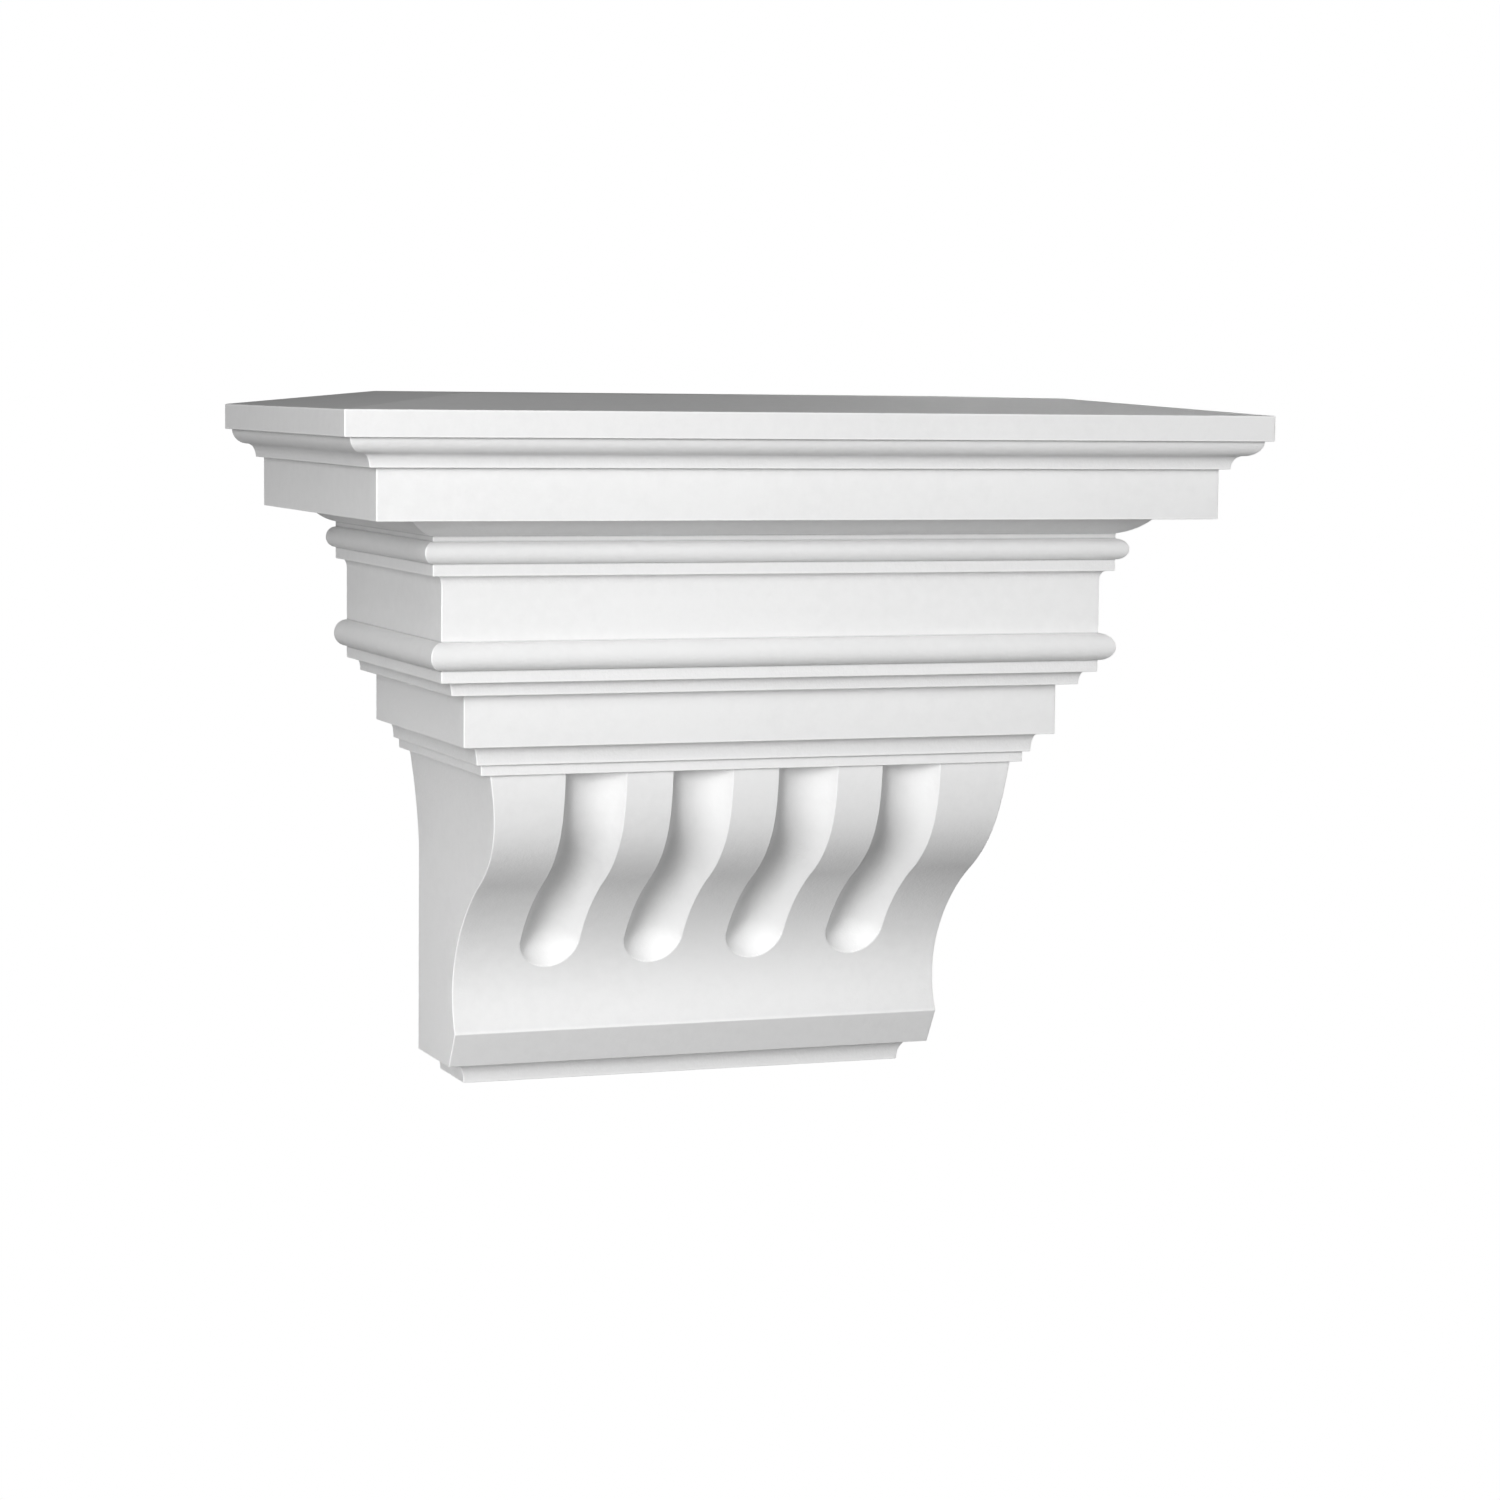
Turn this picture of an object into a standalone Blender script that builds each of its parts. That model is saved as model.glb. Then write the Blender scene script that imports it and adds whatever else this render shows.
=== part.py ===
"""Console bracket: a wall console moulded in one piece. An entablature of mouldings returns round both
sides, and the body under it has an S-curved, fluted front.

Units are metres, +Z is up. The wall face lies in the plane Y = 0, the front looks along -Y and X = 0 is
the plane of symmetry. The origin is the middle of the wall face, half way up.

Every edge is walked from its top downwards. Setbacks are measured in from the face of the abacus, the
slab on top, and are alike on the front and on both sides, so each moulding meets its return on a true
mitre.
"""
import math

import bmesh
import bpy
import numpy as np

# Overall sizes, taken at the face of the abacus
WIDTH = 0.400
PROJECTION = 0.2048

# Weathered top: a flat table with a shallow slope down to the edge of the abacus
TABLE_SETBACK = 0.0664
TABLE_RISE = 0.0062

# Abacus and the cyma under it
ABACUS_HEIGHT = 0.0107
ABACUS_DRIP = 0.0030
CYMA_ROUND_DEPTH = 0.0067
CYMA_ROUND_HEIGHT = 0.0063
CYMA_HOLLOW_DEPTH = 0.0038
CYMA_HOLLOW_HEIGHT = 0.0057

# Corona, the broad hanging band
CORONA_STEP = 0.0036
CORONA_HEIGHT = 0.0210
CORONA_SOFFIT = 0.0197

# Ovolo and astragal under the corona
OVOLO_DEPTH = 0.0122
OVOLO_HEIGHT = 0.0071
OVOLO_BULGE = 0.0012
UPPER_FILLET_HEIGHT = 0.0022
ASTRAGAL_RADIUS = 0.00445
NECK_FILLET_HEIGHT = 0.0050
NECK_STEP = 0.0026

# Frieze, between a small cove and the torus
FRIEZE_COVE_DEPTH = 0.0024
FRIEZE_COVE_HEIGHT = 0.0042
FRIEZE_HEIGHT = 0.0226
TORUS_RADIUS = 0.0058
TORUS_FILLET_HEIGHT = 0.0051

# Architrave: cove, fascia, cove and fillet
UPPER_COVE_STEP = 0.0039
UPPER_COVE_DEPTH = 0.0022
UPPER_COVE_HEIGHT = 0.0057
FASCIA_STEP = 0.0073
FASCIA_HEIGHT = 0.0220
LOWER_COVE_STEP = 0.0051
LOWER_COVE_DEPTH = 0.0027
LOWER_COVE_HEIGHT = 0.0081
CAP_FILLET_STEP = 0.0026
CAP_FILLET_HEIGHT = 0.0046

# Body, set in under the cap fillet, its sides splayed out a little at the top
BODY_SIDE_STEP = 0.0047
BODY_FRONT_STEP = 0.0024
SPLAY_DEPTH = 0.0045
SPLAY_HEIGHT = 0.0466
SPLAY_POWER = 1.65
BODY_HEIGHT = 0.1197
TOE_PROJECTION = 0.0580

# Toe and foot
CHAMFER_HEIGHT = 0.0157
CHAMFER_DEPTH = 0.0095
FOOT_SIDE_STEP = 0.0045
FOOT_FRONT_STEP = 0.0058
FOOT_COVE_DEPTH = 0.0056
FOOT_COVE_HEIGHT = 0.0096

# S-curve of the front: its leans from plumb in degrees, its turning point as shares of its own height
# and run, and its four handles as shares of its height
TOP_LEAN = 3.0
TURN_LEAN = 59.5
TOE_LEAN = -28.0
TURN_DROP_SHARE = 0.421
TURN_RUN_SHARE = 0.466
HANDLE_SHARES = (0.182, 0.232, 0.206, 0.276)

# Flutes: round-bottomed grooves that follow the front and stop in a round end above the toe
FLUTE_WIDTH = 0.0267
FLUTE_DEPTH = 0.0095
FLUTE_PITCH = 0.0475
FLUTE_LEAST_MARGIN = 0.0200
FLUTE_END_HEIGHT = 0.0398

# How finely the curves are cut, and how far solids that are joined or cut run into each other
QUARTER_STEPS = 6
FRONT_STEPS = 18
FLUTE_END_STEPS = 7
FLUTE_RINGS = 9
OVERRUN = 0.008
WELD = 1e-6
SMOOTH_ANGLE = math.radians(28)

PRIMER_COLOUR = (0.86, 0.86, 0.85, 1.0)
PRIMER_ROUGHNESS = 0.62


class Edge:
    """Walks down a moulded edge and keeps its corners as (setback, level)."""

    def __init__(self, setback, level):
        self.corners = [(setback, level)]

    def move(self, inwards, down):
        """A straight stretch."""
        setback, level = self.corners[-1]
        self.corners.append((setback + inwards, level - down))

    def quarter(self, inwards, down, hollow):
        """A quarter of an ellipse: a round one leaves plumb and ends level, a hollow one the other way."""
        setback, level = self.corners[-1]
        for step in range(1, QUARTER_STEPS + 1):
            turn = math.pi / 2 * step / QUARTER_STEPS
            slow, quick = 1 - math.cos(turn), math.sin(turn)
            across, along = (quick, slow) if hollow else (slow, quick)
            self.corners.append((setback + inwards * across, level - down * along))

    def half_round(self, radius):
        """A bead that stands out from a plumb face by its own radius."""
        setback, level = self.corners[-1]
        for step in range(1, 2 * QUARTER_STEPS + 1):
            turn = math.pi / 2 * step / QUARTER_STEPS
            self.corners.append(
                (setback - radius * math.sin(turn), level - radius * (1 - math.cos(turn)))
            )

    def bowed(self, inwards, down, bulge):
        """A shallow arc that stands out from its chord by the bulge, square to it."""
        setback, level = self.corners[-1]
        chord = math.hypot(inwards, down)
        for step in range(1, QUARTER_STEPS + 1):
            share = step / QUARTER_STEPS
            out = 4 * bulge * share * (1 - share) / chord
            self.corners.append(
                (setback + inwards * share - down * out, level - down * share - inwards * out)
            )


def entablature_corners():
    """The moulded edge from the table down to the underside of the cap fillet."""
    edge = Edge(TABLE_SETBACK, TABLE_RISE)
    edge.move(-TABLE_SETBACK, TABLE_RISE)
    edge.move(0, ABACUS_HEIGHT)
    edge.move(ABACUS_DRIP, 0)
    edge.quarter(CYMA_ROUND_DEPTH, CYMA_ROUND_HEIGHT, hollow=False)
    edge.quarter(CYMA_HOLLOW_DEPTH, CYMA_HOLLOW_HEIGHT, hollow=True)
    edge.move(CORONA_STEP, 0)
    edge.move(0, CORONA_HEIGHT)
    edge.move(CORONA_SOFFIT, 0)
    edge.bowed(OVOLO_DEPTH, OVOLO_HEIGHT, OVOLO_BULGE)
    edge.move(0, UPPER_FILLET_HEIGHT)
    edge.half_round(ASTRAGAL_RADIUS)
    edge.move(0, NECK_FILLET_HEIGHT)
    edge.move(NECK_STEP, 0)
    edge.quarter(FRIEZE_COVE_DEPTH, FRIEZE_COVE_HEIGHT, hollow=True)
    edge.move(0, FRIEZE_HEIGHT)
    edge.half_round(TORUS_RADIUS)
    edge.move(0, TORUS_FILLET_HEIGHT)
    edge.move(UPPER_COVE_STEP, 0)
    edge.quarter(UPPER_COVE_DEPTH, UPPER_COVE_HEIGHT, hollow=True)
    edge.move(FASCIA_STEP, 0)
    edge.move(0, FASCIA_HEIGHT)
    edge.move(LOWER_COVE_STEP, 0)
    edge.quarter(LOWER_COVE_DEPTH, LOWER_COVE_HEIGHT, hollow=True)
    edge.move(CAP_FILLET_STEP, 0)
    edge.move(0, CAP_FILLET_HEIGHT)
    return edge.corners


def bezier(start, leave, arrive, end):
    """Points on a cubic curve, the start left out."""
    t = (np.arange(1, FRONT_STEPS + 1) / FRONT_STEPS)[:, None]
    rest = 1 - t
    return rest**3 * start + 3 * rest**2 * t * leave + 3 * rest * t**2 * arrive + t**3 * end


def front_curve(top_setback, top_level):
    """The S-curve from under the cap fillet to the toe, as (setback, level): two cubic curves that
    share their lean at the turning point."""
    top = np.array([top_setback, top_level])
    toe = np.array([PROJECTION - TOE_PROJECTION, top_level - BODY_HEIGHT])
    turn = top + (toe - top) * (TURN_RUN_SHARE, TURN_DROP_SHARE)
    leans = np.radians([TOP_LEAN, TURN_LEAN, TURN_LEAN, TOE_LEAN])
    ways = np.column_stack((np.sin(leans), -np.cos(leans)))
    handles = ways * BODY_HEIGHT * np.array(HANDLE_SHARES)[:, None]
    upper = bezier(top, top + handles[0], turn - handles[1], turn)
    lower = bezier(turn, turn + handles[2], toe - handles[3], toe)
    return np.vstack((top, upper, lower))


def side_setback(cap_setback, drop):
    """A side of the body: splayed outwards at the top by a power curve, plumb below it."""
    rest = max(0.0, 1 - drop / SPLAY_HEIGHT)
    return cap_setback + BODY_SIDE_STEP + SPLAY_DEPTH * (1 - rest**SPLAY_POWER)


def foot_corners(setback, level, step_in):
    """The soffit and cove that end both the front and the sides."""
    edge = Edge(setback, level)
    edge.move(step_in, 0)
    edge.quarter(FOOT_COVE_DEPTH, FOOT_COVE_HEIGHT, hollow=True)
    return edge.corners


def entablature_sections():
    """The mouldings as (half width, projection, level), set back alike on the front and the sides."""
    return [
        (WIDTH / 2 - setback, PROJECTION - setback, level)
        for setback, level in entablature_corners()
    ]


def body_sections(curve, cap_setback):
    """The body in the same way: the S-curve, the chamfer under the toe and the foot. It starts a
    little way up inside the entablature, so that the two share more than a face."""
    cap_level = curve[0][1]
    front = [tuple(corner) for corner in curve]
    side = [side_setback(cap_setback, cap_level - level) for _, level in front]
    front.insert(0, (front[0][0], cap_level + OVERRUN))
    side.insert(0, side[0])
    toe_setback, toe_level = front[-1]
    foot_level = toe_level - CHAMFER_HEIGHT
    front += foot_corners(toe_setback + CHAMFER_DEPTH, foot_level, FOOT_FRONT_STEP)
    side += [setback for setback, _ in foot_corners(side[-1], foot_level, FOOT_SIDE_STEP)]
    return [
        (WIDTH / 2 - beside, PROJECTION - before, level)
        for beside, (before, level) in zip(side, front)
    ]


def lofted(name, sections):
    """Unlike rectangles joined from the top one down. The block is whole, alike before and behind the
    plane of the wall, which halves it at the end."""
    cage = bmesh.new()
    rings = [
        [
            cage.verts.new((half_width * across, projection * along, level))
            for across, along in ((-1, -1), (1, -1), (1, 1), (-1, 1))
        ]
        for half_width, projection, level in sections
    ]
    for upper, lower in zip(rings, rings[1:]):
        for corner in range(4):
            cage.faces.new((upper[corner - 1], upper[corner], lower[corner], lower[corner - 1]))
    cage.faces.new(rings[0])
    cage.faces.new(rings[-1])
    return bpy.data.objects.new(name, meshed(name, cage))


def meshed(name, cage):
    """The finished mesh, its faces turned outwards."""
    bmesh.ops.recalc_face_normals(cage, faces=cage.faces)
    mesh = bpy.data.meshes.new(name)
    cage.to_mesh(mesh)
    cage.free()
    return mesh


def flute_stations(curve):
    """The flute's middle line as (forward, level, share of the radius), and that radius. The bar that
    cuts a flute stands proud of the front, so that it is as wide as the flute where it meets it and
    sinks in by its depth. It starts well above the body's own top, and its last stations draw it in
    to a half ball."""
    radius = ((FLUTE_WIDTH / 2) ** 2 + FLUTE_DEPTH**2) / (2 * FLUTE_DEPTH)
    line = curve - (PROJECTION, 0)
    way = np.gradient(line, axis=0)
    way /= np.linalg.norm(way, axis=1)[:, None]
    proud = line + np.column_stack((way[:, 1], -way[:, 0])) * (radius - FLUTE_DEPTH)
    end_level = line[-1, 1] + FLUTE_END_HEIGHT

    def at_end(rows):
        return np.array([np.interp(-end_level, -line[:, 1], column) for column in rows.T])

    end, end_way = at_end(proud), at_end(way)
    before_end = line[:, 1] > end_level + radius / FLUTE_END_STEPS
    start = proud[0] - 2 * OVERRUN * way[0]
    stations = [(*start, 1.0)]
    stations += [(*place, 1.0) for place in proud[before_end]] + [(*end, 1.0)]
    for turn in np.linspace(0, math.pi / 2, FLUTE_END_STEPS + 1)[1:]:
        stations.append((*(end + end_way * radius * math.sin(turn)), math.cos(turn)))
    return stations, radius


def flute_bar(curve):
    """The bar that cuts one flute, as a mesh on the plane X = 0."""
    stations, radius = flute_stations(curve)
    path = bpy.data.curves.new("flute", "CURVE")
    path.dimensions = "3D"
    path.bevel_depth = radius
    path.bevel_resolution = FLUTE_RINGS
    path.use_fill_caps = True
    spline = path.splines.new("POLY")
    spline.points.add(len(stations) - 1)
    for point, (forward, level, share) in zip(spline.points, stations):
        point.co = (0, forward, level, 1)
        point.radius = share
    guide = bpy.data.objects.new("flute line", path)
    bpy.context.scene.collection.objects.link(guide)
    mesh = evaluated_mesh(guide)
    bpy.data.objects.remove(guide)
    bpy.data.curves.remove(path)
    return welded("flute", mesh)


def evaluated_mesh(item):
    """The object as its modifiers or its bevel leave it."""
    bpy.context.view_layer.update()
    graph = bpy.context.evaluated_depsgraph_get()
    return bpy.data.meshes.new_from_object(item.evaluated_get(graph))


def welded(name, mesh):
    """The mesh with what its caps or cuts left apart made one."""
    cage = bmesh.new()
    cage.from_mesh(mesh)
    bpy.data.meshes.remove(mesh)
    bmesh.ops.remove_doubles(cage, verts=cage.verts, dist=WELD)
    return meshed(name, cage)


def against_the_wall(name, mesh):
    """The front half of the mesh, closed by one flat face at Y = 0."""
    cage = bmesh.new()
    cage.from_mesh(mesh)
    bpy.data.meshes.remove(mesh)
    cut = bmesh.ops.bisect_plane(
        cage,
        geom=[*cage.verts, *cage.edges, *cage.faces],
        plane_co=(0, 0, 0),
        plane_no=(0, 1, 0),
        clear_outer=True,
    )
    rim = [item for item in cut["geom_cut"] if isinstance(item, bmesh.types.BMEdge)]
    bmesh.ops.edgeloop_fill(cage, edges=rim)
    bmesh.ops.remove_doubles(cage, verts=cage.verts, dist=WELD)
    return meshed(name, cage)


def flute_places(half_width):
    """Evenly pitched centres, as many as leave the least margin at both sides."""
    room = 2 * (half_width - FLUTE_LEAST_MARGIN) - FLUTE_WIDTH
    count = max(0, math.floor(room / FLUTE_PITCH) + 1)
    return [(index - (count - 1) / 2) * FLUTE_PITCH for index in range(count)]


def boolean(target, operation, other):
    cut = target.modifiers.new(f"{operation.lower()} {other.name}", "BOOLEAN")
    cut.operation = operation
    cut.solver = "MANIFOLD"
    cut.object = other


def primer():
    """Matt white factory primer."""
    material = bpy.data.materials.new("white primer")
    material.use_nodes = True
    shader = material.node_tree.nodes["Principled BSDF"]
    shader.inputs["Base Color"].default_value = PRIMER_COLOUR
    shader.inputs["Roughness"].default_value = PRIMER_ROUGHNESS
    shader.inputs["Metallic"].default_value = 0.0
    material.diffuse_color = PRIMER_COLOUR
    return material


def new_collection(name):
    collection = bpy.data.collections.new(name)
    bpy.context.scene.collection.children.link(collection)
    return collection


def build():
    for item in list(bpy.data.objects):
        bpy.data.objects.remove(item)
    parts = new_collection("Console bracket")
    cutters = new_collection("Cutters")

    cap_setback, cap_level = entablature_corners()[-1]
    curve = front_curve(cap_setback + BODY_FRONT_STEP, cap_level)
    entablature = lofted("entablature", entablature_sections())
    body = lofted("body", body_sections(curve, cap_setback))
    bar = flute_bar(curve)
    half_width = WIDTH / 2 - side_setback(cap_setback, BODY_HEIGHT)
    flutes = []
    for number, place in enumerate(flute_places(half_width), start=1):
        flute = bpy.data.objects.new(f"flute {number}", bar)
        flute.location.x = place
        flutes.append(flute)
    for helper in (entablature, body, *flutes):
        cutters.objects.link(helper)
        helper.hide_render = True
        helper.display_type = "WIRE"
    for flute in flutes:
        boolean(body, "DIFFERENCE", flute)
    boolean(body, "UNION", entablature)

    mesh = against_the_wall("console bracket", evaluated_mesh(body))
    levels = [corner.co.z for corner in mesh.vertices]
    middle = (min(levels) + max(levels)) / 2
    for corner in mesh.vertices:
        corner.co.z -= middle
    mesh.materials.clear()
    mesh.materials.append(primer())
    mesh.shade_smooth()
    mesh.set_sharp_from_angle(angle=SMOOTH_ANGLE)
    parts.objects.link(bpy.data.objects.new("console_bracket", mesh))


build()
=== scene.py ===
"""A moulded console bracket as it leaves the factory: one piece with softened arrises, four flutes and a
coat of matt white primer, in a pale studio.

The piece is worked out on two grids. Their rows walk down the moulded edge, their columns go round the
plan from the wall to the wall, and every row is a rectangle with two rounded corners in plan. Units are
metres, +Z is up, the wall face lies in Y = 0 and the front looks along -Y.
"""

import math

import bpy
import numpy as np
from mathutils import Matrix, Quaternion, Vector


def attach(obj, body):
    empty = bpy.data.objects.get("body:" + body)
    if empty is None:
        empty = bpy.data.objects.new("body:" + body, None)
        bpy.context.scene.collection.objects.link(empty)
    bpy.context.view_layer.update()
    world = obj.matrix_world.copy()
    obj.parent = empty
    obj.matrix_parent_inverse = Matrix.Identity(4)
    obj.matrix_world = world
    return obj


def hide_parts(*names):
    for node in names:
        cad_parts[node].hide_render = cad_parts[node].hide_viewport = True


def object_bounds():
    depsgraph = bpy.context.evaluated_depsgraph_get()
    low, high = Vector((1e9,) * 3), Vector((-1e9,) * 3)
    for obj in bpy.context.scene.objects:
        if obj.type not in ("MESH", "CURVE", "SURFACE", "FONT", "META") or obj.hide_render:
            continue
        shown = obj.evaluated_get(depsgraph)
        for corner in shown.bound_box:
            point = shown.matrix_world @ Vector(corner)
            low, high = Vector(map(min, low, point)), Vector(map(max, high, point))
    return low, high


bl_info = {
    "name": "Console Bracket",
    "version": (1, 0, 0),
    "blender": (4, 5, 0),
    "location": "3D View > Sidebar > Bracket",
    "description": "Makes a fluted console bracket in white primer and the studio that shows it",
    "category": "Add Mesh",
}

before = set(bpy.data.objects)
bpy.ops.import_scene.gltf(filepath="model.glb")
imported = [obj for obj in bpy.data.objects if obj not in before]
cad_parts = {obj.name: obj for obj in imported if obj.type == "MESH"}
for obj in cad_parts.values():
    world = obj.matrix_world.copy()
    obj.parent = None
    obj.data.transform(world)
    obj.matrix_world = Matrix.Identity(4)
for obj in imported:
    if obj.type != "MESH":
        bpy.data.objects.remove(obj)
CAD_LOW, CAD_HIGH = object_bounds()

QUARTER_STEPS = 10  # facets in a quarter round
CORNER_STEPS = 4  # facets in a softened right angle
SMOOTH_TURN = math.radians(12)  # a joint that turns less than this is left as it is
SHARP_EDGE = math.radians(40)
LEAST_ROW = 0.00004  # rows closer than this to a cut are dropped
FLANK = 0.0005  # rows and columns this close to a rounding keep the flat beside it flat
FLANKED = 3 * FLANK  # a straight run longer than this has such a row at both ends
MOST_CUT = 0.35  # the share of its shorter neighbour that a rounding may take
RIM_RELIEF = 0.5  # relief where a rounding meets the flat, which fades out over the flank; relief paints highlight and shade


def size(name, description, default):
    """A length that a user can set."""
    return bpy.props.FloatProperty(
        name=name, description=description, default=default, min=0, unit="LENGTH", precision=5
    )


def share(name, description, default):
    """A plain number from 0 to 1."""
    return bpy.props.FloatProperty(name=name, description=description, default=default, min=0, max=1)


def colour(name, description, default):
    """A colour without alpha."""
    return bpy.props.FloatVectorProperty(
        name=name, description=description, default=default, subtype="COLOR", size=3, min=0, max=1
    )


class BracketSizes(bpy.types.PropertyGroup):
    """Sizes of the bracket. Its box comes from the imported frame."""

    width: size("Width", "Across the face of the abacus", CAD_HIGH.x - CAD_LOW.x)
    projection: size("Projection", "From the wall to the face of the abacus", CAD_HIGH.y - CAD_LOW.y)
    top: size("Top", "Level of the flat table above the origin", CAD_HIGH.z)
    table_setback: size("Table setback", "From the abacus face in to the flat table", 0.0664)
    body_height: size("Body height", "From under the cap fillet down to the toe", 0.1197)
    toe_projection: size("Toe projection", "From the wall to the arris of the toe", 0.0580)
    flute_width: size("Flute width", "Across the mouth of a flute", 0.0267)
    flute_depth: size("Flute depth", "At the middle of a flute", 0.0095)
    flute_pitch: size("Flute pitch", "From one flute to the next", 0.0475)
    flute_end: size("Flute end", "Height above the toe of the middle of a flute's round end", 0.0398)
    arris: size("Arris rounding", "Radius of an outer edge", 0.00045)
    nook: size("Nook rounding", "Radius of the primer that fills an inner edge", 0.0003)
    flute_lip: size("Flute lip", "Depth over which a flute's lip is eased", 0.0004)


class PrimerLook(bpy.types.PropertyGroup):
    """The matt white primer."""

    coat: colour("Coat", "Colour of the primer", (0.86, 0.86, 0.86))
    thin: colour("Thin coat", "Colour in the clouds, where the coat is thinner", (0.835, 0.835, 0.835))
    # painted shade: the colour that darkens the nooks, where shade falls in the inner edges
    painted_nook_shade: colour("Nooks", "Colour deep in the inner edges", (0.58, 0.58, 0.58))
    # painted highlight: how much lighter the outer edges and the flutes' lips are painted, where light
    # catches them
    painted_edge_highlight: share("Arris gain", "How much lighter the outer edges are", 0.85)
    clouds: size("Clouds", "Size of the large places where the coat is thinner", 0.09)
    mottle: size("Mottle", "Size of the small places where the coat is thinner", 0.005)
    roughness: share("Roughness", "Roughness of the primer", 0.58)
    specular: share("Specular level", "Strength of the primer's faint gloss", 0.35)
    grain: size("Grain", "Size of the orange peel that the mould leaves", 0.0018)
    grain_height: size("Grain height", "Height of the orange peel", 0.00030)


class Studio(bpy.types.PropertyGroup):
    """Floor, lights and camera."""

    pale: colour("Surround", "Colour of the floor and of what is behind it", (1.0, 1.0, 1.0))
    bounce: share("Bounce", "How much of the light on the floor comes back up", 0.2)
    ambient: share("Ambient", "Strength of the even light from all around", 0.005)
    floor_drop: size("Floor drop", "How far the floor lies under the bracket", 0.75)
    floor_reach: size("Floor reach", "Half the side of the floor", 25.0)
    lens: bpy.props.FloatProperty(
        name="Lens", description="Focal length for a 36 mm sensor", default=91.2, unit="CAMERA"
    )


# Each lamp's name, azimuth and elevation in degrees, distance, width, height and level.
LAMPS = (
    ("key", -37, 10, 2.6, 0.45, 1.0, 0.66),
    ("upper key", -30, 29, 2.6, 0.5, 1.0, 0.21),
    ("front", -12, 9, 2.6, 0.5, 0.9, 0.17),
    ("upper left", -60, 50, 2.6, 1.6, 1.6, 0.022),
    ("low left", -87, -36, 1.1, 0.7, 0.7, 0.15),
    ("right fill", 75, -12, 2.6, 1.2, 1.2, 0.15),
    ("rear fill", 140, 2, 2.6, 1.6, 1.6, 0.7),
)
AIM = Vector((0.0, -0.10, 0.0))
FULL_SPREAD = 180  # degrees

# A narrow lamp that lifts the left side of the body alone.
BODY_SIDE_LAMP = ("body side", -106, -10, 0.9, 0.12, 0.12, 0.0024)
BODY_SIDE_AIM = Vector((-0.14, -0.06, -0.115))
BODY_SIDE_SPREAD = 21  # degrees

CAMERA_PLACE = Vector((-0.56569, -1.62122, 0.15734))
CAMERA_AIM = Vector((0.00610, -0.10, -0.00076))
CAMERA_ROLL = 0.615  # degrees

FLOOR_LINES = 9  # each way across the floor
FLOOR_ROUGHNESS, FLOOR_SPECULAR = 0.9, 0.1

MILLIMETRE = 0.001

# Mouldings of the entablature, from the top of the abacus down to the foot of the cap fillet: what each is,
# how it runs, and how far it goes inwards and down in millimetres. A bead's first size is how far it
# stands out.
ENTABLATURE = (
    ("abacus", "straight", 0.0, 10.7),
    ("drip", "straight", 3.0, 0.0),
    ("cyma, its round", "round", 6.7, 6.3),
    ("cyma, its hollow", "hollow", 3.8, 5.7),
    ("corona step", "straight", 3.6, 0.0),
    ("corona", "straight", 0.0, 21.0),
    ("corona soffit", "straight", 19.7, 0.0),
    ("ovolo", "bowed", 12.2, 7.1),
    ("upper fillet", "straight", 0.0, 2.2),
    ("astragal", "bead", 4.45, 8.9),
    ("neck fillet", "straight", 0.0, 5.0),
    ("neck step", "straight", 2.6, 0.0),
    ("frieze cove", "hollow", 2.4, 4.2),
    ("frieze", "straight", 0.0, 22.6),
    ("torus", "bead", 5.8, 11.6),
    ("torus fillet", "straight", 0.0, 5.1),
    ("upper cove step", "straight", 3.9, 0.0),
    ("upper cove", "hollow", 2.2, 5.7),
    ("fascia step", "straight", 7.3, 0.0),
    ("fascia", "straight", 0.0, 22.0),
    ("lower cove step", "straight", 5.1, 0.0),
    ("lower cove", "hollow", 2.7, 8.1),
    ("cap fillet step", "straight", 2.6, 0.0),
    ("cap fillet", "straight", 0.0, 4.6),
)
TABLE_RISE = 0.0062  # from the top of the abacus up to the flat table
RIM = 0.0020  # how much of the flat table and of the underside belongs to the first and last rows
SOFFIT_RIM = 0.0012  # how much of the cap's soffit belongs to the entablature's last row
OVOLO_BULGE = 0.0012  # from its chord to the middle of its curve

BODY_SIDE_STEP, BODY_FRONT_STEP = 0.0047, 0.0024  # from the cap fillet in to the body
SPLAY_DEPTH, SPLAY_HEIGHT, SPLAY_POWER = 0.0045, 0.0466, 1.65  # of the body's sides, at their top
TOP_LEAN, TURN_LEAN, TOE_LEAN = 3.0, 59.5, -28.0  # the S-curve's degrees from plumb, inwards
TURN_RUN_SHARE, TURN_DROP_SHARE = 0.466, 0.421  # where it turns, in shares of its run and its drop
HANDLE_SHARES = (0.182, 0.232, 0.206, 0.276)  # its four handles, in body heights
CHAMFER_DEPTH, CHAMFER_HEIGHT = 0.0095, 0.0157
FOOT_SIDE_STEP, FOOT_FRONT_STEP = 0.0045, 0.0058
FOOT_COVE_DEPTH, FOOT_COVE_HEIGHT = 0.0056, 0.0096

CURVE_POINTS = 200  # in each half of the S-curve, before the rows are spread over it
COARSE_ROW, FINE_ROW = 0.0015, 0.00038  # from one row of the body to the next
FLUTE_COLUMNS = 76
LAND_COLUMNS = 5
FLUTE_MARGIN = 0.0014  # fine columns and rows go this far past a flute's lip
FLUTES = 4
LIP_LINE = -0.2  # where the painted highlight on a flute's lip is strongest: its depth there, in lips
TOP_EASE = 0.010  # over this height a flute's depth turns from level to square with the front


def straight(inwards, down):
    """Both ends of a straight stretch."""
    return np.array([(0.0, 0.0), (inwards, -down)])


def quarter(inwards, down, hollow):
    """A quarter of an ellipse. A round leaves plumb and ends level: inwards by 1 - cos, down by sin. A
    hollow leaves level and ends plumb: inwards by sin, down by 1 - cos."""
    turn = np.linspace(0, np.pi / 2, QUARTER_STEPS + 1)
    slow, quick = 1 - np.cos(turn), np.sin(turn)
    across, along = (quick, slow) if hollow else (slow, quick)
    return np.column_stack((inwards * across, -down * along))


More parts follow.
